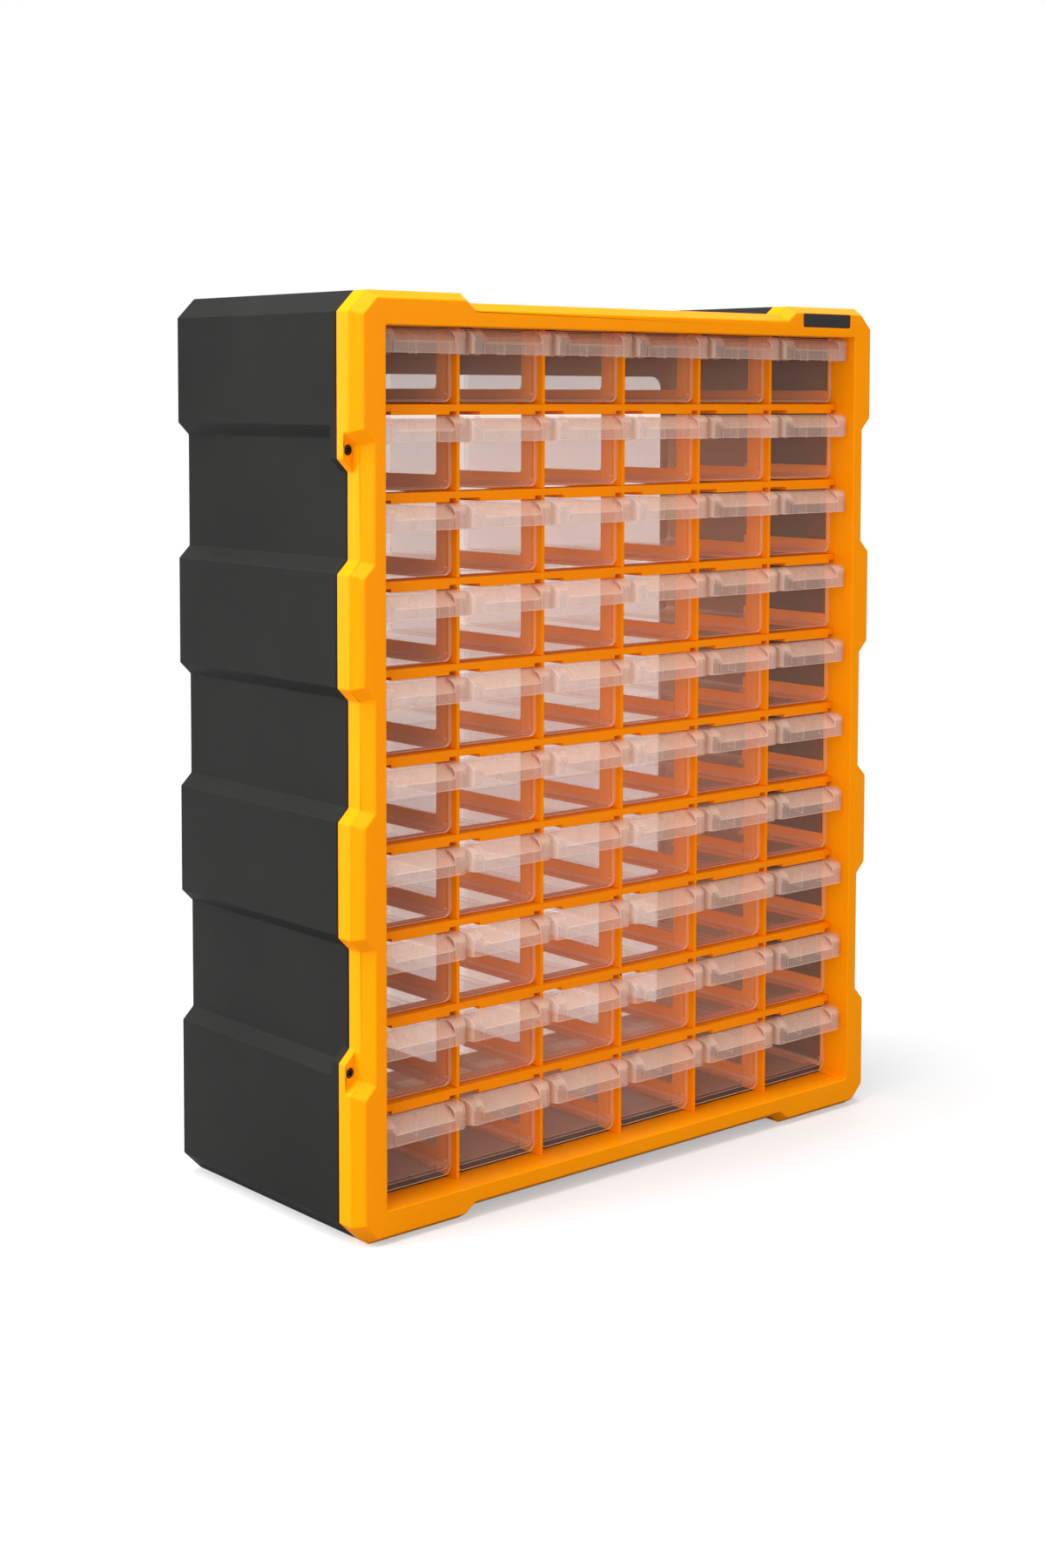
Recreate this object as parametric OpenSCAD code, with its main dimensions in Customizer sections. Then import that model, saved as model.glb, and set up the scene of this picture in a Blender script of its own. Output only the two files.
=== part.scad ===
// Cabinet of sixty small clear drawers in a banded casing with a screwed-on front frame.
// Millimetres. Z is up, the front faces -Y, and the origin is the centre of the footprint.

/* [Cabinet] */
// Overall width
cabinet_w = 380; // [360:5:400]
// Overall depth
cabinet_d = 160; // [150:5:180]
// Overall height
cabinet_h = 475; // [470:1:480]
// Long chamfer along the four outer edges that run front to back
edge_chamfer = 10.5; // [6:0.5:13]
// Thickness of the casing's walls
casing_wall = 2.4; // [1.8:0.2:3]
// How far the raised bands of the sides stand out
band_step = 6.5; // [4:0.5:7]
// Width of each foot and of each raised end of the top
foot_w = 69.5; // [60:0.5:80]
// Height of the feet over the arch between them
foot_h = 4.8; // [3:0.2:6]
// Width of the opening in the casing's back
back_open_w = 340; // [300:2:344]
// Height of that opening's lower edge
back_open_z0 = 28; // [24:1:40]
// Height of that opening's upper edge
back_open_z1 = 436; // [420:1:440]

/* [Front frame] */
// Depth of the bevel round the frame's front
bevel_d = 7; // [5:0.5:9]
// Width of that bevel, seen from the front
bevel_w = 4; // [2:0.5:5]
// Depth of the frame's side faces behind the bevel
frame_side_d = 10; // [8:0.5:14]
// Width of the opening for the drawers
opening_w = 345; // [345:1:345]
// Height of the opening's lower edge
opening_z0 = 17; // [16:0.5:18]
// Height of the opening's upper edge
opening_z1 = 458; // [457:0.5:459]
// Radius of the opening's corners
opening_r = 1.2; // [0.4:0.2:1.2]
// Diameter of the holes for the frame's screws
screw_hole_d = 5.3; // [4:0.1:5.6]

/* [Rack] */
// Columns of drawers
columns = 6; // [6:1:6]
// Rows of drawers
rows = 10; // [10:1:10]
// Distance from the frame's front to the front of the lattice
lattice_inset = 14; // [12:0.5:15]
// Depth of the lattice
lattice_d = 17; // [12:1:20]
// Height of a row bar
bar_h = 5.4; // [4:0.2:6]
// Height from one row of drawers to the next
row_pitch = 44.2; // [44:0.1:44.4]
// Thickness of a column divider
divider_t = 2; // [1.6:0.2:2.4]
// Length of a runner behind the lattice
runner_l = 57; // [50:1:100]
// Height of the guide rib of a runner
guide_h = 7.3; // [5:0.1:9]
// Thickness of a runner's strips
runner_t = 1.8; // [1.4:0.2:2]
// How far a runner's strip reaches under each drawer
runner_reach = 3.6; // [3:0.2:5]

/* [Drawers] */
// Width of a drawer's front
drawer_front_w = 54.8; // [54:0.1:55]
// Thickness of a drawer's front
drawer_front_t = 1.6; // [1.2:0.1:2]
// Height of a drawer's front
drawer_h = 37.2; // [36:0.1:37.4]
// Width of a drawer's tray
tray_w = 53; // [51:0.2:53.4]
// Height of the tray's sides
tray_h = 34.5; // [32:0.5:35]
// Length of the tray, front to back
tray_d = 136; // [120:1:138]
// Thickness of a drawer's walls
drawer_wall = 1.3; // [1:0.1:1.6]
// Radius of a drawer's lower corners
drawer_r = 4.5; // [3:0.5:6]
// Radius of the fillets up the inner corners of the tray
corner_r = 2; // [1:0.5:3]
// How far the pull hood stands out from the drawer's front
hood_d = 13; // [11:0.5:13]
// Height of the pull hood
hood_h = 12.7; // [11:0.1:14]
// Height of the hood's upright lip
lip_h = 6; // [5:0.5:7]
// Width of the hollow in the middle of the hood
scoop_w = 38; // [30:1:42]
// Thickness of the hood's skin
hood_wall = 1.2; // [1:0.1:1.4]
// How much lower the fronts of the bottom row reach
low_front_drop = 3.2; // [0:0.2:3.4]

/* [Hidden] */
$fn = 48;
FIT = 0.01;                                     // overlap that joins two solids of one piece
SLACK = 0.05;                                   // clearance in the rack's joints
front_y = -cabinet_d / 2;
crease_y = front_y + bevel_d;
seam_y = crease_y + frame_side_d;
back_y = cabinet_d / 2;
lattice_y = front_y + lattice_inset;
lattice_back_y = lattice_y + lattice_d;
sleeve_back_y = seam_y + 4.5;
half_open = opening_w / 2;
pocket_w = (opening_w - (columns - 1) * divider_t) / columns;
column_pitch = pocket_w + divider_t;
pocket_h = row_pitch - bar_h;
inner_back_y = back_y - casing_wall;

// Raised bands of the sides as [low, high], from the floor up. The two sides differ a little.
frame_left_bands = [[0, 77], [155, 213], [279.5, 336], [405.5, cabinet_h]];
frame_right_bands = [[0, 65.5], [145.5, 200.5], [278, 334], [409.5, cabinet_h]];
casing_left_bands = [[0, 84.5], [156, 213], [280, 336.5], [409, cabinet_h]];
casing_right_bands = [[0, 73], [145.5, 200.5], [278, 334], [409.5, cabinet_h]];

foot_ramp = 6.6;
tab_d = 5.2;                                    // depth of a screw tab
tab_boss_d = 6;                                 // depth of the casing's boss behind it
tab_proud_left = band_step;
tab_proud_right = 4.4;
screw_z = [87.2, 397];
screw_inset = 3.4;                              // from the tab's outer face to the screw's axis
tab_reach = 4.5;                                // from the screw's axis to the tab's far end
tab_overlap = 9;                                // how far a tab runs into its band, past the band's ramp
screw_shank_d = 2.6;
screw_clear_d = 3;                              // hole for the shank in the frame's tab
screw_head_h = 2.4;
screw_head_d = 5;
screw_sink = 0.3;                               // from the tab's face down to the head's
screw_depth = 5;                                // shank beyond the seam
reveal_d = 1.2;                                 // groove of shadow between frame and casing
reveal_inset = 0.8;
sleeve_t = 2.4;                                 // wall of the frame's sleeve inside the casing
notch_w = [13.5, 4.6];                          // notches over the left and right of each drawer
notch_h = 1.8;
gusset_r = 2.2;                                 // fillet where a guide rib meets the lattice
back_open_r = 8;
floor_gap = 1;                                  // drawer over the row bar
runner_gap = 0.3;                               // drawer over the runners it slides on
front_inset = 3;                                // drawer front behind the lattice's front
plate_w = 40;
plate_h = 7.5;
plate_t = 0.8;
plate_gap = 0.1;                                // round the nameplate in its recess
plate_x = 148;
plate_z = 467.2;

function two_digits(n) = str(n < 10 ? "0" : "", n);
function drawer_name(r, c) = str("drawer_r", two_digits(r), "_c", c);

// Height of the top of the row bar under row r, and of a drawer standing there
function bar_top(r) = opening_z1 - (r - 1) * row_pitch - pocket_h;
function drawer_z(r) = bar_top(r) + floor_gap;
function column_x(c) = -half_open + pocket_w / 2 + (c - 1) * column_pitch;

// One side of the outline, upward, as [distance from the middle, height]
function side_line(bands, last = 3) = [
    for (i = [0:last])
        for (p = [
            [cabinet_w / 2 - (i == 0 ? 0 : band_step), i == 0 ? edge_chamfer : bands[i][0] - band_step],
            [cabinet_w / 2, i == 0 ? edge_chamfer : bands[i][0]],
            [cabinet_w / 2, i == last ? cabinet_h - edge_chamfer : bands[i][1]],
            [cabinet_w / 2 - (i == last ? 0 : band_step),
                i == last ? cabinet_h - edge_chamfer : bands[i][1] + band_step]
        ]) p
];
function without_repeats(pts) = [
    for (i = [0:len(pts) - 1]) if (norm(pts[i] - pts[(i + 1) % len(pts)]) > 0.001) pts[i]
];
function reversed(pts) = [for (i = [len(pts) - 1:-1:0]) pts[i]];
function mirrored(pts) = [for (p = pts) [-p[0], p[1]]];

// Half of the foot line or of the top line, from the middle outwards
function end_line(level, inward) = [
    [cabinet_w / 2 - foot_w - foot_ramp, level + inward * foot_h],
    [cabinet_w / 2 - foot_w, level],
    [cabinet_w / 2 - edge_chamfer, level]
];
// The whole outline, counter-clockwise as the front is seen
function outline(left, right) = without_repeats(concat(
    mirrored(reversed(end_line(0, 1))),
    end_line(0, 1),
    side_line(right),
    reversed(end_line(cabinet_h, -1)),
    mirrored(end_line(cabinet_h, -1)),
    mirrored(reversed(side_line(left)))
));
// The outline drawn in by d, each corner along its mitre
function inset(pts, d) = [
    for (i = [0:len(pts) - 1])
        let (
            n = len(pts),
            a = pts[i] - pts[(i + n - 1) % n],
            b = pts[(i + 1) % n] - pts[i],
            na = [-a[1], a[0]] / norm(a),
            nb = [-b[1], b[0]] / norm(b)
        ) pts[i] + d * (na + nb) / (1 + na * nb)
];
frame_outline = outline(frame_left_bands, frame_right_bands);
casing_outline = outline(casing_left_bands, casing_right_bands);

// A shape drawn in X and Z, made solid from y0 back to y1
module along_y(y0, y1) {
    translate([0, y1, 0]) rotate([90, 0, 0]) linear_extrude(y1 - y0) children();
}
// A shape drawn in Y and Z, made solid from x0 across to x1
module along_x(x0, x1) {
    translate([x0, 0, 0]) rotate([90, 0, 90]) linear_extrude(x1 - x0) children();
}
// A rectangle with rounded corners
module rounded_rect(x0, z0, x1, z1, r) {
    translate([x0, z0 + r]) square([x1 - x0, z1 - z0 - 2 * r]);
    translate([x0 + r, z0]) square([x1 - x0 - 2 * r, z1 - z0]);
    for (x = [x0 + r, x1 - r], z = [z0 + r, z1 - r]) translate([x, z]) circle(r);
}
// The opening for the drawers, grown by g
module opening_shape(g = 0) {
    rounded_rect(-half_open - g, opening_z0 - g, half_open + g, opening_z1 + g, opening_r);
}
// A ring lofted between two sizes of one outline. Its inner wall is the outline drawn in
// towards the middle, and lies inside the opening.
module bevel_ring(pts, y0, inset0, y1, inset1) {
    near = inset(pts, inset0);
    far = inset(pts, inset1);
    n = len(pts);
    polyhedron(
        points = concat(
            at_depth(near, y0), at_depth(far, y1),
            at_depth(shrunk(near), y0), at_depth(shrunk(far), y1)
        ),
        faces = [
            for (i = [0:n - 1])
                let (j = (i + 1) % n)
                for (f = [
                    [i, j, n + j, n + i],
                    [j, i, 2 * n + i, 2 * n + j],
                    [n + i, n + j, 3 * n + j, 3 * n + i],
                    [2 * n + j, 2 * n + i, 3 * n + i, 3 * n + j]
                ]) f
        ]
    );
}
function at_depth(pts, y) = [for (p = pts) [p[0], y, p[1]]];
function shrunk(pts) = [for (p = pts) [p[0] * 0.88, cabinet_h / 2 + (p[1] - cabinet_h / 2) * 0.9]];
// The outline of a screw tab that stands out by p on the +X side; up is +1 where it hangs from a band
module tab_shape(z, p, up) {
    x_in = cabinet_w / 2 - band_step;
    x_out = x_in + p;
    far = z - up * tab_reach;
    near = z + up * (tab_reach + band_step + tab_overlap);
    polygon([
        [x_in - 2, far - up * p],
        [x_in, far - up * p],
        [x_out, far],
        [x_out, near],
        [x_in - 2, near]
    ]);
}
module tabs(y0, y1) {
    for (side = [-1, 1], i = [0, 1])
        along_y(y0, y1)
            mirror([side < 0 ? 1 : 0, 0])
                tab_shape(screw_z[i], side < 0 ? tab_proud_left : tab_proud_right, i == 0 ? -1 : 1);
}
// Places something at each screw, looking back along +Y
module at_screws(y) {
    for (side = [-1, 1], z = screw_z) {
        proud = side < 0 ? tab_proud_left : tab_proud_right;
        translate([side * (cabinet_w / 2 - band_step + proud - screw_inset), y, z])
            rotate([-90, 0, 0]) children();
    }
}

// ---- the fixed pieces ----

module casing() {
    color("#3a3837")
    difference() {
        union() {
            difference() {
                along_y(seam_y + reveal_d, back_y) polygon(casing_outline);
                along_y(seam_y - 1, inner_back_y) polygon(inset(casing_outline, casing_wall));
            }
            difference() {
                along_y(seam_y, seam_y + reveal_d + FIT) polygon(inset(casing_outline, reveal_inset));
                along_y(seam_y - 1, seam_y + 3) polygon(inset(casing_outline, casing_wall));
            }
            tabs(seam_y, seam_y + tab_boss_d);
        }
        at_screws(seam_y - 1) cylinder(d = screw_shank_d, h = screw_depth + 1.4);
        along_y(inner_back_y - 1, back_y + 1)
            rounded_rect(-back_open_w / 2, back_open_z0, back_open_w / 2, back_open_z1, back_open_r);
    }
}

module front_frame() {
    color("#f59a00")
    difference() {
        union() {
            bevel_ring(frame_outline, front_y, bevel_w, crease_y, 0);
            along_y(crease_y - FIT, seam_y) polygon(frame_outline);
            tabs(seam_y - tab_d, seam_y);
            along_y(seam_y - FIT, sleeve_back_y) opening_shape(sleeve_t);
        }
        along_y(front_y - 1, sleeve_back_y + 1) opening_shape();
        notches(opening_z1 - 1, lattice_y, notch_h + 1);
        along_y(front_y - 1, front_y + plate_t) plate_shape(plate_gap);
        at_screws(seam_y - tab_d - 1) cylinder(d = screw_hole_d, h = 1 + screw_sink + screw_head_h);
        at_screws(seam_y - tab_d - 1) cylinder(d = screw_clear_d, h = tab_d + 2);
    }
}

// Cuts at the two upper corners of each pocket of a row, over the drawers' side walls
module notches(z, y0, h) {
    for (c = [1:columns], side = [0, 1])
        along_y(y0, lattice_back_y + 1)
            translate([column_x(c) + (side == 0 ? -pocket_w / 2 : pocket_w / 2 - notch_w[1]), z])
                square([notch_w[side], h]);
}
// A bar crosses the dividers by half-lap joints: the bars are whole in front, the dividers behind.
module row_bar(r) {
    z = bar_top(r) - bar_h;
    mid_y = lattice_y + lattice_d / 2;
    difference() {
        along_y(lattice_y, lattice_back_y)
            translate([-half_open, z]) square([opening_w, bar_h]);
        notches(z - 1, lattice_y - 1, notch_h + 1);
        for (k = [1:columns - 1])
            along_y(mid_y, lattice_back_y + 1)
                translate([column_x(k) + pocket_w / 2 - SLACK, z - 1])
                    square([divider_t + 2 * SLACK, bar_h + 2]);
    }
}
module column_divider(k) {
    x = column_x(k) + pocket_w / 2;
    difference() {
        along_y(lattice_y, lattice_back_y)
            translate([x, opening_z0]) square([divider_t, opening_z1 - opening_z0]);
        for (r = [1:rows - 1])
            along_y(lattice_y - 1, lattice_y + lattice_d / 2 + SLACK)
                translate([x - 1, bar_top(r) - bar_h - SLACK]) square([divider_t + 2, bar_h + 2 * SLACK]);
    }
}
// Runner behind divider k of row r: a strip under the drawers with a guide rib between them.
// k is 0 and 6 at the sides, where the rib comes forward to the frame's sleeve.
module runner(r, k) {
    z = bar_top(r) + floor_gap - runner_gap;
    x = column_x(k) + pocket_w / 2;
    at_side = k == 0 || k == columns;
    rib = r == rows && k == columns ? 0 : guide_h;
    rib_x = k == columns ? x + SLACK : x;
    y0 = lattice_back_y + SLACK;
    y1 = lattice_back_y + runner_l;
    along_y(y0, y1)
        translate([k == 0 ? x : x - runner_reach, z - runner_t])
            square([divider_t + runner_reach * (at_side ? 1 : 2), runner_t]);
    along_y(at_side ? sleeve_back_y + SLACK : y0, y1)
        translate([rib_x, z - runner_t])
            square([divider_t - (at_side ? SLACK : 0), runner_t + rib]);
    if (!at_side)
        along_x(x, x + divider_t)
            difference() {
                translate([y0, z + rib - FIT]) square([gusset_r, gusset_r + FIT]);
                translate([y0 + gusset_r, z + rib + gusset_r]) circle(gusset_r);
            }
}

module drawer_rack() {
    color("#ee8c00") {
        for (r = [1:rows - 1]) row_bar(r);
        for (k = [1:columns - 1]) column_divider(k);
        for (r = [1:rows], k = [0:columns]) runner(r, k);
    }
}

// The nameplate's outline, grown by g
module plate_shape(g = 0) {
    translate([plate_x, plate_z])
        rounded_rect(-plate_w / 2 - g, -plate_h / 2 - g, plate_w / 2 + g, plate_h / 2 + g, 1 + g);
}
module nameplate() {
    color("#1c1b1b")
    along_y(front_y, front_y + plate_t) plate_shape();
}

module frame_screws() {
    color("#2a2a2a")
    at_screws(seam_y - tab_d + screw_sink) {
        cylinder(d = screw_head_d, h = screw_head_h);
        cylinder(d = screw_shank_d, h = tab_d - screw_sink + screw_depth);
    }
}

// ---- the drawers ----

// Side view of the hood at its ends, as [y, z] from the foot of the front, drawn in by t
module hood_side(t) {
    r = hood_h - lip_h;
    translate([-hood_d + r, drawer_h - hood_h - (t > 0 ? 1 : 0)])
        square([hood_d - r, hood_h - t + (t > 0 ? 1 : 0)]);
    translate([-hood_d + t, drawer_h - hood_h - (t > 0 ? 1 : 0)])
        square([r - t + FIT, lip_h + (t > 0 ? 1 : 0)]);
    translate([-hood_d + r, drawer_h - r]) circle(r - t);
}
// The hood seen from above, drawn in by t
module hood_plan(t) {
    r = 3.5;
    w = drawer_front_w - 2 * t;
    translate([-w / 2, -hood_d + r]) square([w, hood_d - r]);
    translate([-w / 2 + r - t, -hood_d + t]) square([w - 2 * (r - t), hood_d - t]);
    for (side = [-1, 1]) translate([side * (w / 2 - r + t), -hood_d + r]) circle(r - t);
}
module hood_block(t) {
    intersection() {
        along_x(-drawer_front_w / 2 - 1, drawer_front_w / 2 + 1) hood_side(t);
        translate([0, 0, drawer_h - hood_h - 2]) linear_extrude(hood_h + 4) hood_plan(t);
    }
}
// The hollow in the middle, over a slope from the hood's back edge down to the lip; g grows it
module scoop(g) {
    top = drawer_h;
    crease = drawer_h - hood_h + lip_h;
    run = hood_d - 3;
    fall = top - crease;
    len = norm([run, fall]);
    dy = g * fall / len;
    dz = g * run / len;
    along_x(-scoop_w / 2 - g, scoop_w / 2 + g)
        polygon([
            [-3 + dy, top + 2],
            [-3 + dy, top - dz],
            [-hood_d + dy, crease - dz],
            [-hood_d - 2, crease - dz],
            [-hood_d - 2, top + 2]
        ]);
}
module hood() {
    difference() {
        hood_block(0);
        scoop(0);
        difference() {
            hood_block(hood_wall);
            scoop(hood_wall);
            for (side = [-1, 1])
                translate([side * (scoop_w / 2 + hood_wall / 2) - hood_wall / 2, -hood_d, 0])
                    cube([hood_wall, hood_d, drawer_h]);
            translate([-0.5, -5.5, 0]) cube([1, 5.5, drawer_h]);
        }
    }
}
// The U of the tray, drawn in by t
module tray_section(w, z0, h, t) {
    r = drawer_r - t;
    x = w / 2 - t;
    translate([-x, z0 + drawer_r]) square([2 * x, h - drawer_r - z0]);
    translate([-x + r, z0 + t]) square([2 * (x - r), h - z0 - t]);
    for (side = [-1, 1]) translate([side * (x - r), z0 + drawer_r]) circle(r);
}
module drawer(drop = 0) {
    color("#e8cfc4") {
        hood();
        along_y(-FIT, drawer_front_t) tray_section(drawer_front_w, -drop, drawer_h, 0);
        difference() {
            along_y(1, tray_d) tray_section(tray_w, 0, tray_h, 0);
            along_y(0, tray_d - drawer_wall) tray_section(tray_w, 0, tray_h + 5, drawer_wall);
        }
        for (side = [-1, 1], y = [drawer_front_t, tray_d - drawer_wall]) corner_fillet(side, y);
    }
}
// Fillet up an inner corner of the tray, at its front or its back wall
module corner_fillet(side, y) {
    x = side * (tray_w / 2 - drawer_wall);
    inward = y < tray_d / 2 ? 1 : -1;
    translate([x, y, drawer_r])
        mirror([side < 0 ? 0 : 1, 0, 0]) mirror([0, inward < 0 ? 1 : 0, 0])
            linear_extrude(tray_h - drawer_r)
                difference() {
                    translate([-FIT, -FIT]) square(corner_r + FIT);
                    translate([corner_r, corner_r]) circle(corner_r);
                }
}
module placed_drawer(r, c) {
    translate([column_x(c), lattice_y + front_inset, drawer_z(r)]) drawer(r == rows ? low_front_drop : 0);
}

casing();
front_frame();
drawer_rack();
nameplate();
frame_screws();
for (r = [1:rows - 1], c = [1:columns])
    placed_drawer(r, c);
for (c = [1:columns]) placed_drawer(rows, c);  // drawers_r10
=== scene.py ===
"""A parts bin cabinet: sixty clear drawers in an amber rack and frame, in a dark banded casing.

Metres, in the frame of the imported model: Z is up, the front faces -Y and the feet stand at z = 0.
"""

import math

import bmesh
import bpy
import numpy as np
from mathutils import Matrix, Vector
from mathutils.bvhtree import BVHTree


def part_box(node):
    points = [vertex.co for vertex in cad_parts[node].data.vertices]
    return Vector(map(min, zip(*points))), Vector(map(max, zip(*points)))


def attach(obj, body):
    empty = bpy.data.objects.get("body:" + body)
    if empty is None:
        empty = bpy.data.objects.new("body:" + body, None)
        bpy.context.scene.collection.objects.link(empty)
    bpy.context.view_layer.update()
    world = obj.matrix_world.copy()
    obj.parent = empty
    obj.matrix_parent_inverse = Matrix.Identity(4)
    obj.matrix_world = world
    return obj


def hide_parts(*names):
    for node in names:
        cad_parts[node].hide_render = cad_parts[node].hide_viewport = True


MM = 0.001
WHITE = (1.0, 1.0, 1.0, 1.0)

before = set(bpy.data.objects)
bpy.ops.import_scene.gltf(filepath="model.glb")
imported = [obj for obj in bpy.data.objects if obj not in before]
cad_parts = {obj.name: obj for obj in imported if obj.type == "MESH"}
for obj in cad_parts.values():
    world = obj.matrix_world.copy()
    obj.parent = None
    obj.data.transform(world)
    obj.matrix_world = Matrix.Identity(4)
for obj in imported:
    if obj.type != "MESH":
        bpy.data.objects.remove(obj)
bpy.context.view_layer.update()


def linked_object(name, data):
    """A new object, linked to the scene."""
    made = bpy.data.objects.new(name, data)
    bpy.context.scene.collection.objects.link(made)
    return made


# ---- materials ----


def new_material(name):
    """An empty node material and its Principled node."""
    material = bpy.data.materials.new(name)
    material.use_nodes = True
    return material, material.node_tree.nodes["Principled BSDF"]


def add_node(owner, kind, inputs=None, **settings):
    """A node in a material or world, with its settings and the values of its sockets."""
    node = owner.node_tree.nodes.new(kind)
    for key, value in settings.items():
        setattr(node, key, value)
    for key, value in (inputs or {}).items():
        node.inputs[key].default_value = value
    return node


def link(owner, source, target):
    """Joins an output to an input in a material or world."""
    owner.node_tree.links.new(source, target)


def object_noise(material, scale, detail=3.0, roughness=0.5):
    """Noise in the piece's own coordinates; scale is in cells a metre."""
    place = add_node(material, "ShaderNodeTexCoord")
    settings = {"Scale": scale, "Detail": detail, "Roughness": roughness}
    noise = add_node(material, "ShaderNodeTexNoise", settings)
    link(material, place.outputs["Object"], noise.inputs["Vector"])
    return noise.outputs["Fac"]


def ramp(material, value, low, high, color_low, color_high):
    """A colour that runs from color_low at value low to color_high at value high."""
    node = add_node(material, "ShaderNodeValToRGB")
    first, last = node.color_ramp.elements
    first.position, last.position = low, high
    first.color, last.color = (*color_low, 1.0), (*color_high, 1.0)
    link(material, value, node.inputs["Fac"])
    return node.outputs["Color"]


def spread(material, value, low, high):
    """Maps a 0 to 1 value to low to high."""
    node = add_node(material, "ShaderNodeMapRange", {"To Min": low, "To Max": high})
    link(material, value, node.inputs["Value"])
    return node.outputs["Result"]


def bump(material, shader, height, strength, distance):
    """Joins a height to the shader's normal."""
    node = add_node(material, "ShaderNodeBump", {"Strength": strength, "Distance": distance})
    link(material, height, node.inputs["Height"])
    link(material, node.outputs["Normal"], shader.inputs["Normal"])


def moulded_plastic(name, dark, light, rough, gloss, grain, grain_depth):
    """Coloured plastic with a fine mould grain, soft clouds in its colour and duller patches."""
    material, shader = new_material(name)
    shader.inputs["Specular IOR Level"].default_value = gloss
    clouds = ramp(material, object_noise(material, 9.0, 4.0, 0.6), 0.3, 0.72, dark, light)
    link(material, clouds, shader.inputs["Base Color"])
    patches = spread(material, object_noise(material, 38.0), *rough)
    link(material, patches, shader.inputs["Roughness"])
    bump(material, shader, object_noise(material, grain, 2.0), 0.35, grain_depth)
    return material


def clear_plastic(name, color, alpha, rough=(0.20, 0.32)):
    """Clear moulded plastic with a milky haze: the haze is what the alpha lets stay."""
    material, shader = new_material(name)
    tint = [0.93 * c for c in color]
    clouds = ramp(material, object_noise(material, 24.0), 0.35, 0.7, tint, color)
    link(material, clouds, shader.inputs["Base Color"])
    patches = spread(material, object_noise(material, 70.0), *rough)
    link(material, patches, shader.inputs["Roughness"])
    shader.inputs["Alpha"].default_value = alpha
    return material


def black_steel():
    """Blackened screw steel with fine turning marks."""
    material, shader = new_material("black_steel")
    shader.inputs["Metallic"].default_value = 0.7
    marks = object_noise(material, 900.0)
    color = ramp(material, marks, 0.35, 0.7, (0.02, 0.02, 0.02), (0.07, 0.07, 0.07))
    link(material, color, shader.inputs["Base Color"])
    patches = spread(material, object_noise(material, 2200.0), 0.32, 0.52)
    link(material, patches, shader.inputs["Roughness"])
    return material


# For each: dark and light colour, least and greatest roughness, gloss, grain size and grain depth.
charcoal = moulded_plastic(
    "charcoal_plastic",
    (0.0110, 0.0105, 0.0100), (0.0150, 0.0145, 0.0138), (0.42, 0.58), 0.14, 2600.0, 0.00012,
)
amber = moulded_plastic(
    "amber_plastic",
    (0.94, 0.285, 0.0), (0.98, 0.310, 0.0), (0.34, 0.46), 0.05, 1900.0, 0.00004,
)
rack_orange = moulded_plastic(
    "rack_plastic",
    (0.90, 0.235, 0.0), (0.95, 0.260, 0.0), (0.38, 0.50), 0.05, 1900.0, 0.00004,
)
plate_black = moulded_plastic(
    "plate_gloss",
    (0.020, 0.019, 0.018), (0.028, 0.026, 0.024), (0.16, 0.24), 0.5, 900.0, 0.00001,
)

# A drawer's one clear plastic in six copies, in the order of its material slots.
# They differ in colour and density by where a face lies and which way it faces. This is painted
# light and shade, not a real finish.
# The peach to orange tints of all six are painted bounce light from the amber rack.
# The walls, deep inside, are darker and oranger as painted shade.
# The hood and the front's rounded corners are lighter as painted light, and the hood's top and ends
# (CROWN) are lighter still, as painted light from above and the left.
# The edge, on every round, is a painted highlight, partly the real haze of a wall seen edge-on.
# The floor, always seen at a glancing angle, is denser and paler: a painted reflection, partly the
# real longer path through its haze.
FRONT, WALL, FLOOR, HOOD, EDGE, CROWN = range(6)
drawer_haze_and_painted_light = [
    clear_plastic("clear_front", (0.92, 0.57, 0.44), 0.06),
    clear_plastic("clear_wall_painted_shade", (0.74, 0.34, 0.20), 0.085),
    clear_plastic("clear_floor", (0.84, 0.48, 0.34), 0.28),
    clear_plastic("clear_hood_painted_light", (0.82, 0.58, 0.48), 0.20),
    clear_plastic("clear_edge_painted_highlight", (0.98, 0.74, 0.62), 0.36, (0.18, 0.28)),
    clear_plastic("clear_crown_painted_light", (0.90, 0.63, 0.49), 0.36),
]
screw_steel = black_steel()

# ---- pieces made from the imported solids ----

WELD = 0.002 * MM                      # points nearer than this are one
FLAT_ANGLE = math.radians(0.5)         # faces that meet at less than this are one flat
ROUNDED_ANGLE = math.radians(26.0)     # sharper edges get a round
SHARP_ANGLE = math.radians(32.0)       # sharper edges stay sharp in the shading
STRAY_SHARE = 0.35                     # of the round's width: a point further out is stray
GRAZING = -0.1                         # of the distance: how far inwards still counts as out


def add_piece(name, mesh, body, nodes):
    """Links a mesh as a piece that rides on a body and stands for the given nodes."""
    piece = linked_object(name, mesh)
    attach(piece, body)
    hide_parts(*nodes)
    return piece


def merged_mesh(node, name):
    """A node's mesh with its loose triangles joined and its flat areas cleared of slivers."""
    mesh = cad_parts[node].data.copy()
    mesh.name = name
    mesh.materials.clear()
    work = bmesh.new()
    work.from_mesh(mesh)
    bmesh.ops.remove_doubles(work, verts=work.verts, dist=WELD)
    bmesh.ops.dissolve_limit(
        work,
        angle_limit=FLAT_ANGLE,
        use_dissolve_boundaries=False,
        verts=work.verts,
        edges=work.edges,
    )
    wide = [face for face in work.faces if len(face.verts) > 4]
    bmesh.ops.triangulate(work, faces=wide, ngon_method="BEAUTY")
    work.to_mesh(mesh)
    work.free()
    return mesh


def even(edge):
    """The same round along every sharp edge."""
    return 1.0


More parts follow.
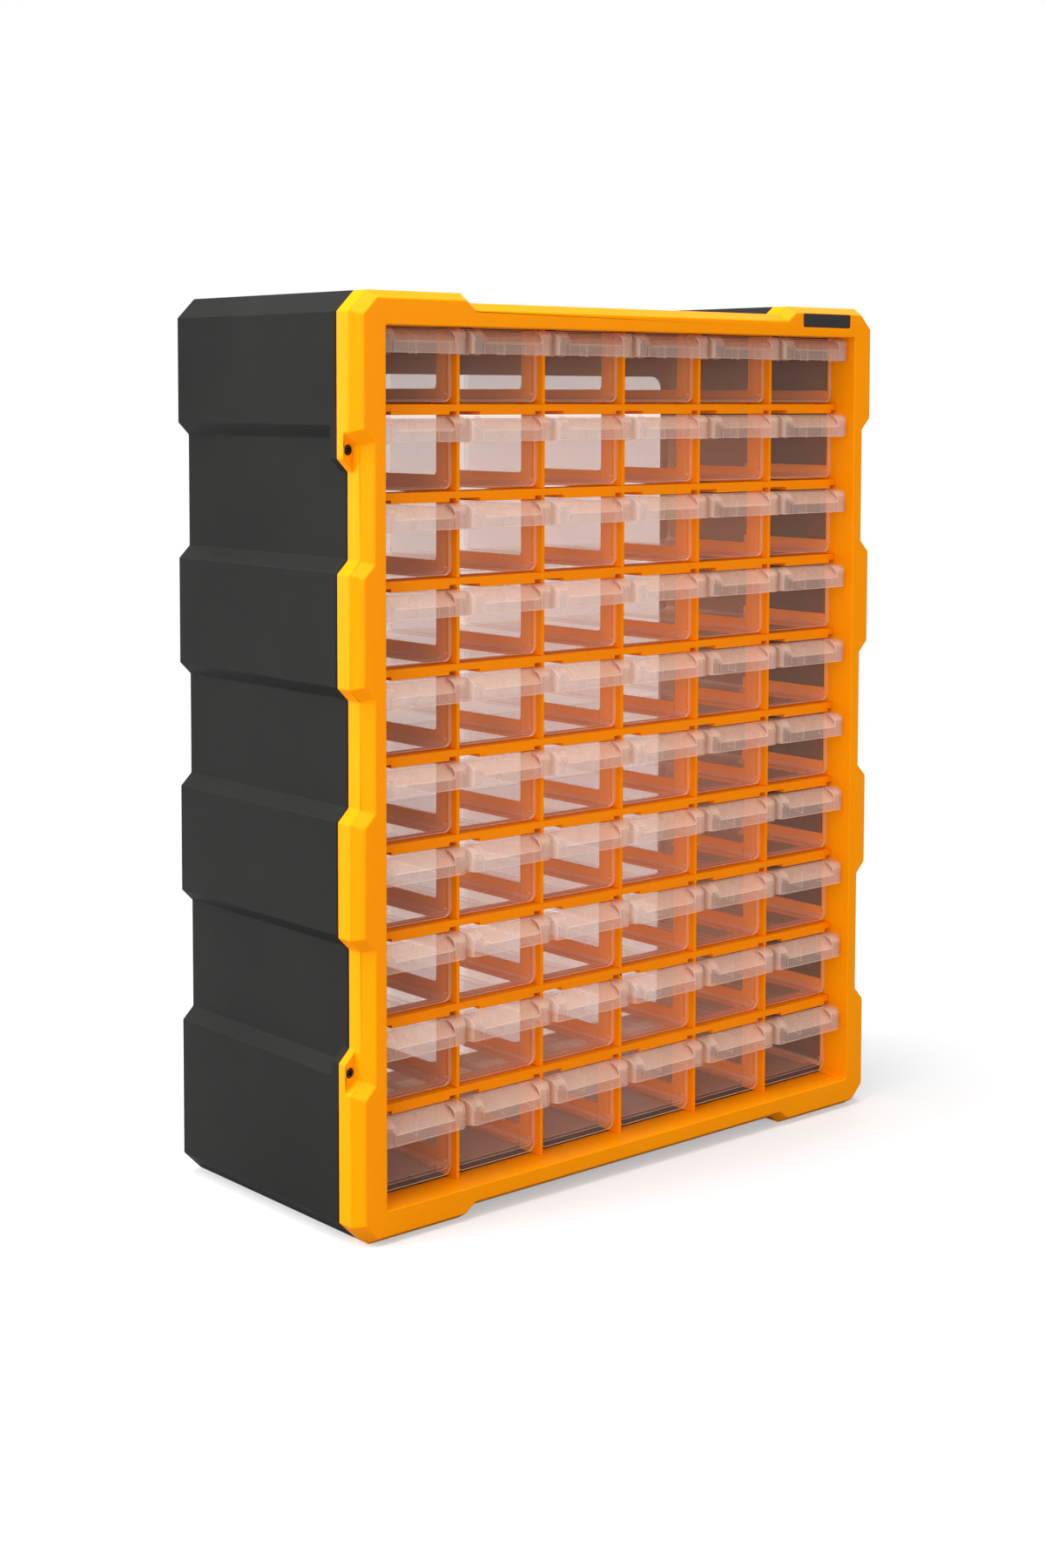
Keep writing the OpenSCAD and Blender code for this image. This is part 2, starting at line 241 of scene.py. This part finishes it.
def weigh_edges(mesh, share):
    """Gives each edge sharper than ROUNDED_ANGLE its share of the round."""
    work = bmesh.new()
    work.from_mesh(mesh)
    weight = work.edges.layers.float.new("bevel_weight_edge")
    for edge in work.edges:
        if edge.calc_face_angle(0.0) > ROUNDED_ANGLE:
            edge[weight] = share(edge)
    work.to_mesh(mesh)
    work.free()


def evaluated_mesh(holder):
    """A new mesh: the holder's mesh with its modifiers applied."""
    graph = bpy.context.evaluated_depsgraph_get()
    return bpy.data.meshes.new_from_object(holder.evaluated_get(graph))


def shade_smooth(mesh):
    """Smooth shading, save at the edges sharper than SHARP_ANGLE."""
    for polygon in mesh.polygons:
        polygon.use_smooth = True
    mesh.set_sharp_from_angle(angle=SHARP_ANGLE)


def pulled_back(mesh, tree, limit):
    """Puts each point that the rounding throws out of the shape by more than limit on a face.

    A round in an inner corner stands out a little by right, and limit leaves it alone. The face
    is the nearest one of the whole mesh, which can be a neighbour's where a mesh holds several
    solids, as the bottom row's does.
    """
    for vertex in mesh.vertices:
        near, normal, _, distance = tree.find_nearest(vertex.co)
        if distance > limit and (vertex.co - near).dot(normal) > GRAZING * distance:
            vertex.co = near


def rounded_edges(mesh, width, segments, material=-1, share=even, inner_width=None):
    """The mesh with its sharp edges rounded by width times their share.

    material is the round's slot, and -1 takes that of the faces beside it. inner_width is the
    width in inner corners, where it differs. The rounds shade smoothly, and normals weighted by
    area keep the flat faces beside them flat.
    """
    corners = [v.co.copy() for v in mesh.vertices]
    tree = BVHTree.FromPolygons(corners, [p.vertices for p in mesh.polygons])
    weigh_edges(mesh, share)
    holder = linked_object("holder", mesh)
    modifier = holder.modifiers.new("rounds", "BEVEL")
    modifier.width = width
    modifier.segments = segments
    modifier.limit_method = "WEIGHT"
    modifier.use_clamp_overlap = False
    modifier.loop_slide = False
    modifier.miter_outer = "MITER_ARC"
    modifier.material = material
    rounded = evaluated_mesh(holder)
    pulled_back(rounded, tree, STRAY_SHARE * (inner_width or width))
    shade_smooth(rounded)
    holder.modifiers.clear()
    holder.data = rounded
    holder.modifiers.new("flats", "WEIGHTED_NORMAL").keep_sharp = True
    finished = evaluated_mesh(holder)
    bpy.data.objects.remove(holder)
    return finished


def kept_in_box(mesh, node):
    """Puts the few points that the rounding pushes out of the node's box back on its faces."""
    low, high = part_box(node)
    for vertex in mesh.vertices:
        vertex.co = [min(max(c, a), b) for c, a, b in zip(vertex.co, low, high)]


def softened(node, body, material, width, segments=2, share=even):
    """A node's shape with its edges rounded as the mould leaves them."""
    mesh = merged_mesh(node, f"{node}_shape")
    mesh.materials.append(material)
    mesh = rounded_edges(mesh, width, segments, share=share)
    kept_in_box(mesh, node)
    return add_piece(f"{node}_moulding", mesh, body, [node])


seam_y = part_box("casing")[0].y


def finer_behind_seam(edge):
    """The frame's sleeve, inside the casing, has a quarter of the frame's round."""
    return 0.25 if min(v.co.y for v in edge.verts) > seam_y - 0.1 * MM else 1.0


softened("casing", "cabinet", charcoal, 0.5 * MM)
softened("front_frame", "cabinet", amber, 0.7 * MM, 3, finer_behind_seam)
softened("drawer_rack", "cabinet", rack_orange, 0.25 * MM)
softened("nameplate", "cabinet", plate_black, 0.15 * MM)

# ---- the drawers ----

first_low, first_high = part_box("drawer_r01_c1")
first_x = 0.5 * (first_low.x + first_high.x)
column_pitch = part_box("drawer_r01_c2")[0].x - first_low.x
hood_d = 13.0 * MM
hood_h = 12.7 * MM
front_y = first_low.y + hood_d         # the outer face of the front
front_wall_d = 2.0 * MM
fillet_reach = 4.0 * MM                # how far back the tray's rounded front corners go
floor_drop = 28.0 * MM                 # the floor lies further below the top than this
rib_reach = 22.0 * MM                  # the hood's ribs lie nearer to its middle than this
rim_round = 1.0 * MM
fine_share = 0.3                       # of rim_round, for every other edge
on_plane = 0.05 * MM


def lit_copy_of(polygon, top_z):
    """Which copy of the clear plastic a drawer's face takes, from where the face lies and which way
    it faces. The copies carry painted light and shade.
    """
    depth = polygon.center.y - front_y
    from_first = polygon.center.x - first_x
    across = (from_first + 0.5 * column_pitch) % column_pitch - 0.5 * column_pitch
    nx, ny, nz = (abs(n) for n in polygon.normal)
    if depth < -0.5 * MM:
        inner_rib = nx > 0.8 and abs(across) < rib_reach
        if inner_rib:
            return FRONT
        # Hood faces turned up or sideways take CROWN, lighter and denser: painted light from above
        # and the left. The rest of the hood takes HOOD, lighter than the walls: painted light on
        # the outside.
        return CROWN if max(nx, nz) > 0.5 else HOOD
    if depth < front_wall_d and ny > 0.9:
        return FRONT
    # Floor faces take FLOOR, denser and paler: a painted reflection of a floor seen at a glancing
    # angle, partly real haze.
    if nz > 0.5 and polygon.center.z < top_z - floor_drop:
        return FLOOR
    # The rounded front corners take HOOD: a painted streak highlight, partly the real haze of the
    # bend. The other walls take WALL, darker and oranger: painted shade and painted bounce light.
    corner_fillet = nx > 0.15 and ny > 0.15 and depth < fillet_reach
    return HOOD if corner_fillet else WALL


def drawer_mesh(node, name):
    """A drawer's shape in its copies of the clear plastic, which carry painted light and shade,
    with a broad round at its front's rim and fine ones.
    """
    mesh = merged_mesh(node, name)
    for material in drawer_haze_and_painted_light:
        mesh.materials.append(material)
    top_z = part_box(node)[1].z
    for polygon in mesh.polygons:
        polygon.material_index = lit_copy_of(polygon, top_z)

    def broad_at_front_rim(edge):
        at_front = all(abs(v.co.y - front_y) < on_plane for v in edge.verts)
        below_hood = all(v.co.z < top_z - hood_h + on_plane for v in edge.verts)
        return 1.0 if at_front and below_hood and edge.is_convex else fine_share

    fine_round = fine_share * rim_round
    # Every round takes EDGE, lighter and denser plastic: a painted highlight along the rounded
    # edges, partly the real haze of a wall seen edge-on.
    return rounded_edges(mesh, rim_round, 3, EDGE, broad_at_front_rim, inner_width=fine_round)


def make_drawers():
    """One mesh for the drawers of rows 1 to 9, moved to each place, and one for the bottom row."""
    names = sorted(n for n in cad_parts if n.startswith("drawer_r") and "_c" in n)
    pattern = drawer_mesh("drawer_r01_c1", "drawer_shape")
    for name in names:
        mesh = pattern.copy()
        mesh.name = f"{name}_shape"
        mesh.transform(Matrix.Translation(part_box(name)[0] - first_low))
        add_piece(f"{name}_clear", mesh, name, [name])
    low_row = drawer_mesh("drawers_r10", "drawers_r10_shape")
    add_piece("drawers_r10_clear", low_row, "drawers_r10", ["drawers_r10"])


make_drawers()

# ---- the screws ----

HEAD_SIDES = 48
RIM_LEVEL = 0.55                       # of the head's height, at its rim


def screw_head(x, y, z, radius, height, turn):
    """A pan head with a cross recess, as a grid over angle a and radius r.

    Its height is height * (1 - 0.35 * (r / radius) ^ 2), less the recess: 55% of the height
    inside the cross, fading where the distance to the nearer arm's middle passes the half arm.
    The head faces -Y. A last ring carries the rim back to the seat.
    """
    a = np.linspace(0.0, 2.0 * math.pi, HEAD_SIDES, endpoint=False)
    r = radius * np.array(
        [0.0, 0.12, 0.2, 0.28, 0.36, 0.44, 0.52, 0.6, 0.68, 0.76, 0.84, 0.92, 0.98]
    )
    grid_a, grid_r = np.meshgrid(a, r, indexing="ij")
    across = np.abs(grid_r * np.sin(grid_a - turn))
    along = np.abs(grid_r * np.cos(grid_a - turn))
    arm = np.minimum(across, along)
    reach = np.maximum(across, along)
    in_arm = np.clip((0.16 * radius - arm) / (0.07 * radius) + 0.5, 0.0, 1.0)
    in_reach = np.clip((0.62 * radius - reach) / (0.10 * radius) + 0.5, 0.0, 1.0)
    recess = 0.55 * height * in_arm * in_reach
    top = height * (1.0 - 0.35 * (grid_r / radius) ** 2) - recess
    rim_r = np.full((HEAD_SIDES, 1), radius)
    rim_h = np.full((HEAD_SIDES, 1), RIM_LEVEL * height)
    rings_r = np.hstack([grid_r, rim_r, rim_r])
    rings_h = np.hstack([top, rim_h, np.zeros((HEAD_SIDES, 1))])
    rings_a = np.repeat(a[:, None], rings_r.shape[1], axis=1)
    points = np.stack(
        [x + rings_r * np.cos(rings_a), y - rings_h, z + rings_r * np.sin(rings_a)], axis=-1
    )
    return grid_mesh_data(points)


def grid_mesh_data(points):
    """Vertices and quads of a grid that closes on itself along its first side."""
    rows, columns = points.shape[:2]
    i, j = np.meshgrid(np.arange(rows), np.arange(columns - 1), indexing="ij")
    near = i * columns + j
    far = ((i + 1) % rows) * columns + j
    quads = np.stack([near, near + 1, far + 1, far], axis=-1).reshape(-1, 4)
    return points.reshape(-1, 3), quads


def joined_mesh(name, parts):
    """One mesh from several lots of vertices and quads, doubles merged and faces outward."""
    starts = np.cumsum([0] + [len(p[0]) for p in parts[:-1]])
    vertices = np.vstack([p[0] for p in parts])
    quads = np.vstack([p[1] + s for p, s in zip(parts, starts)])
    mesh = bpy.data.meshes.new(name)
    mesh.from_pydata(vertices.tolist(), [], quads.tolist())
    work = bmesh.new()
    work.from_mesh(mesh)
    bmesh.ops.remove_doubles(work, verts=work.verts, dist=WELD)
    rim = [e for e in work.edges if e.is_boundary]
    bmesh.ops.holes_fill(work, edges=rim, sides=0)
    bmesh.ops.recalc_face_normals(work, faces=work.faces)
    work.to_mesh(mesh)
    work.free()
    shade_smooth(mesh)
    return mesh


def make_screws():
    """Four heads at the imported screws' places, each turned a little differently."""
    low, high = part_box("frame_screws")
    head_r, head_h = 2.5 * MM, 2.4 * MM
    parts = []
    for k, side in enumerate((low.x + head_r, high.x - head_r)):
        for n, level in enumerate((low.z + head_r, high.z - head_r)):
            turn = 0.4 + 0.9 * k + 0.5 * n
            parts.append(screw_head(side, low.y + head_h, level, head_r, head_h, turn))
    mesh = joined_mesh("frame_screws_shape", parts)
    mesh.materials.append(screw_steel)
    add_piece("frame_screw_heads", mesh, "cabinet", ["frame_screws"])


make_screws()

# ---- the stage ----


def make_floor():
    """A floor that the eye sees go to white away from the cabinet, with its shadow kept near."""
    size = 30.0
    points = [(-size, -size, 0.0), (size, -size, 0.0), (size, size, 0.0), (-size, size, 0.0)]
    mesh = bpy.data.meshes.new("floor_shape")
    mesh.from_pydata(points, [], [(0, 1, 2, 3)])
    floor = linked_object("floor", mesh)
    material, shader = new_material("floor_white")
    shader.inputs["Roughness"].default_value = 0.9
    shader.inputs["Specular IOR Level"].default_value = 0.1
    white = add_node(material, "ShaderNodeEmission", {"Color": WHITE})
    path = add_node(material, "ShaderNodeLightPath")
    place = add_node(material, "ShaderNodeTexCoord")
    reach = add_node(material, "ShaderNodeVectorMath", operation="LENGTH")
    whiteness = add_node(
        material,
        "ShaderNodeMapRange",
        {"From Min": 0.25, "From Max": 0.85, "To Min": 0.40, "To Max": 1.0},
        interpolation_type="SMOOTHSTEP",
    )
    share = add_node(material, "ShaderNodeMath", operation="MULTIPLY")
    mix = add_node(material, "ShaderNodeMixShader")
    to_eye = path.outputs["Is Camera Ray"]
    grey = ramp(material, to_eye, 0.0, 1.0, (0.30, 0.30, 0.30), (0.80, 0.80, 0.80))
    link(material, grey, shader.inputs["Base Color"])
    link(material, place.outputs["Object"], reach.inputs[0])
    link(material, reach.outputs["Value"], whiteness.inputs["Value"])
    link(material, whiteness.outputs["Result"], share.inputs[0])
    link(material, to_eye, share.inputs[1])
    link(material, share.outputs[0], mix.inputs["Fac"])
    link(material, shader.outputs[0], mix.inputs[1])
    link(material, white.outputs[0], mix.inputs[2])
    output = material.node_tree.nodes["Material Output"]
    link(material, mix.outputs[0], output.inputs["Surface"])
    mesh.materials.append(material)


def make_world():
    """Even studio light, with white behind the cabinet for the eye and through glass."""
    world = bpy.data.worlds.new("studio")
    world.use_nodes = True
    bpy.context.scene.world = world
    nodes = world.node_tree.nodes
    light = nodes["Background"]
    light.inputs["Color"].default_value = WHITE
    light.inputs["Strength"].default_value = 0.36
    white = add_node(world, "ShaderNodeBackground", {"Color": WHITE})
    path = add_node(world, "ShaderNodeLightPath")
    seen = add_node(world, "ShaderNodeMath", operation="MAXIMUM")
    mix = add_node(world, "ShaderNodeMixShader")
    link(world, path.outputs["Is Camera Ray"], seen.inputs[0])
    link(world, path.outputs["Is Transmission Ray"], seen.inputs[1])
    link(world, seen.outputs[0], mix.inputs["Fac"])
    link(world, light.outputs[0], mix.inputs[1])
    link(world, white.outputs[0], mix.inputs[2])
    link(world, mix.outputs[0], nodes["World Output"].inputs["Surface"])


def add_softbox(name, toward, distance, size, level, in_gloss=True):
    """A square lamp in the direction toward from the cabinet's middle.

    Its power is pi squared times distance squared times level: a white face square to it,
    at that distance, then renders at that level. in_gloss says whether reflections show it.
    """
    lamp = bpy.data.lights.new(name, "AREA")
    lamp.shape = "SQUARE"
    lamp.size = size
    lamp.energy = math.pi**2 * distance**2 * level
    holder = linked_object(name, lamp)
    holder.visible_glossy = in_gloss
    middle = Vector((0.0, 0.0, 0.24))
    direction = Vector(toward).normalized()
    holder.location = middle + direction * distance
    holder.rotation_euler = (-direction).to_track_quat("-Z", "Y").to_euler()


def make_camera():
    """The photograph's camera: place, turn, tilt and frame, worked out from the edges."""
    image_height = 1800.0
    focal_px = 2646.2
    centre_above_px = 259.5
    sensor = 36.0
    turn, tilt, roll = math.radians(40.92), math.radians(3.98), math.radians(0.13)
    data = bpy.data.cameras.new("camera")
    data.sensor_width = sensor
    data.lens = sensor * focal_px / image_height
    data.shift_y = -centre_above_px / image_height
    camera = linked_object("camera", data)
    ahead = Vector(
        (math.sin(turn) * math.cos(tilt), math.cos(turn) * math.cos(tilt), -math.sin(tilt))
    )
    level_right = Vector((math.cos(turn), -math.sin(turn), 0.0))
    level_up = level_right.cross(ahead)
    right = math.cos(roll) * level_right + math.sin(roll) * level_up
    up = -math.sin(roll) * level_right + math.cos(roll) * level_up
    place = Matrix((right, up, -ahead)).transposed().to_4x4()
    place.translation = Vector((-0.85972, -0.97439, 0.42270))
    camera.matrix_world = place
    bpy.context.scene.camera = camera


make_floor()
make_world()
add_softbox("left_box", (-0.85, 0.30, 0.75), 2.4, 1.4, 0.92)
add_softbox("front_left_box", (-0.95, -0.45, 0.15), 2.4, 1.6, 0.48)
add_softbox("back_left_box", (-0.55, 0.80, 0.12), 2.4, 1.6, 0.90, in_gloss=False)
add_softbox("front_box", (0.30, -1.0, 0.20), 2.4, 1.6, 0.29)
add_softbox("overhead", (-0.1, -0.08, 1.0), 2.2, 1.6, 1.15)
add_softbox("fill", (0.9, 0.5, 0.4), 2.6, 1.6, 0.18)
make_camera()
bpy.context.scene.view_settings.view_transform = "Standard"
bpy.context.scene.cycles.transparent_max_bounces = 48  # a ray can pass many clear faces

bpy.context.view_layer.update()
